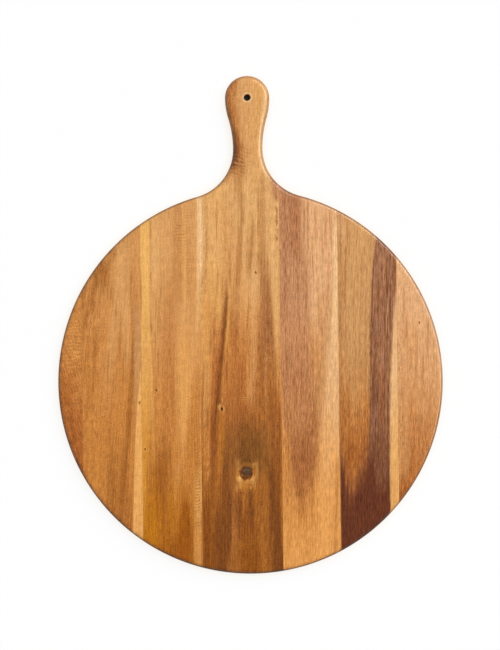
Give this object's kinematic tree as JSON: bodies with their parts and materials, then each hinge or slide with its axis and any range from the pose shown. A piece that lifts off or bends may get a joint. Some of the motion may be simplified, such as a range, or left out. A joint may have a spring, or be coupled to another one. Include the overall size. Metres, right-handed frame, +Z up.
{
  "type": "round serving board",
  "caption": "Round wooden serving board with a waisted handle and a hanging hole, edge-glued from solid staves with rounded edges.",
  "frame": {"origin": "centre of the disc on the flat underside, the face the board lies on", "axes": "+Z up out of the serving face, +Y along the staves from the disc towards the handle, +X across the staves"},
  "size_m": [0.4064, 0.5264, 0.018],
  "materials": {
    "left_rim_wood": "oiled satin, reddish orange-brown acacia",
    "left_outer_wood": "oiled satin, golden brown acacia",
    "left_inner_wood": "oiled satin, yellow-brown acacia with sapwood bands",
    "handle_wood": "oiled satin, streaked brown acacia with a knot",
    "right_inner_wood": "oiled satin, pinkish tan acacia with a red-brown flame",
    "right_outer_wood": "oiled satin, acacia with dark chocolate heartwood bands",
    "right_rim_wood": "oiled satin, pinkish tan acacia",
    "glue": "cured wood glue, sanded flush"
  },
  "bodies": {
    "root": {"left_stave_3": "left_rim_wood", "left_stave_2": "left_outer_wood", "left_stave_1": "left_inner_wood", "handle_stave": "handle_wood", "right_stave_1": "right_inner_wood", "right_stave_2": "right_outer_wood", "right_stave_3": "right_rim_wood", "left_glue_line_3": "glue", "left_glue_line_2": "glue", "left_glue_line_1": "glue", "right_glue_line_1": "glue", "right_glue_line_2": "glue", "right_glue_line_3": "glue"}
  },
  "joints": []
}
